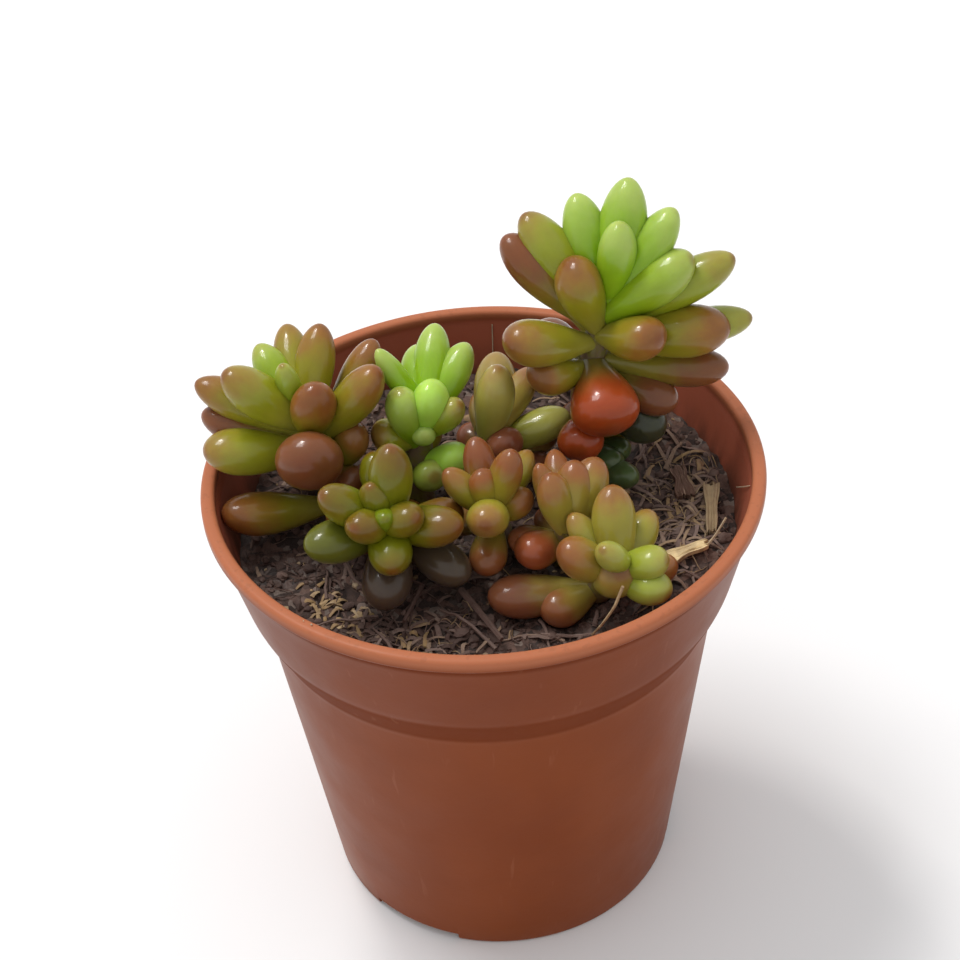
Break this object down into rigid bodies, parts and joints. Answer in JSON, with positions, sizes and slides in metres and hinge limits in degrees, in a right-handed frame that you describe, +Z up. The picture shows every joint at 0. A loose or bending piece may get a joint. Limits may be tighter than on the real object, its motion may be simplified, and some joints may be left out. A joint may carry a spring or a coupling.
{
  "type": "potted jelly bean plant",
  "caption": "Young jelly bean plant, a clump of leafy stems with fat bean-shaped leaves, in a small round tapered plastic pot of soil.",
  "frame": {"origin": "on the pot's axis, at the surface the pot stands on", "axes": "+Z up along the pot's axis; -Y towards the side the plant is usually seen from; +X to the right, where the tallest rosette stands"},
  "size_m": [0.06, 0.06, 0.0808],
  "materials": {
    "pot_plastic": "satin",
    "peat": "matte",
    "leaf": "gloss",
    "chip": "matte"
  },
  "bodies": {
    "root": {"pot": "pot_plastic", "soil": "peat", "leafy_stem_1": "leaf", "leafy_stem_2": "leaf", "leafy_stem_3": "leaf", "leafy_stem_4": "leaf", "leafy_stem_5": "leaf", "leafy_stem_6": "leaf", "leafy_stem_7": "leaf", "leafy_stem_8": "leaf", "wood_chip": "chip", "bark_chip_1": "chip", "bark_chip_2": "chip"}
  },
  "joints": []
}
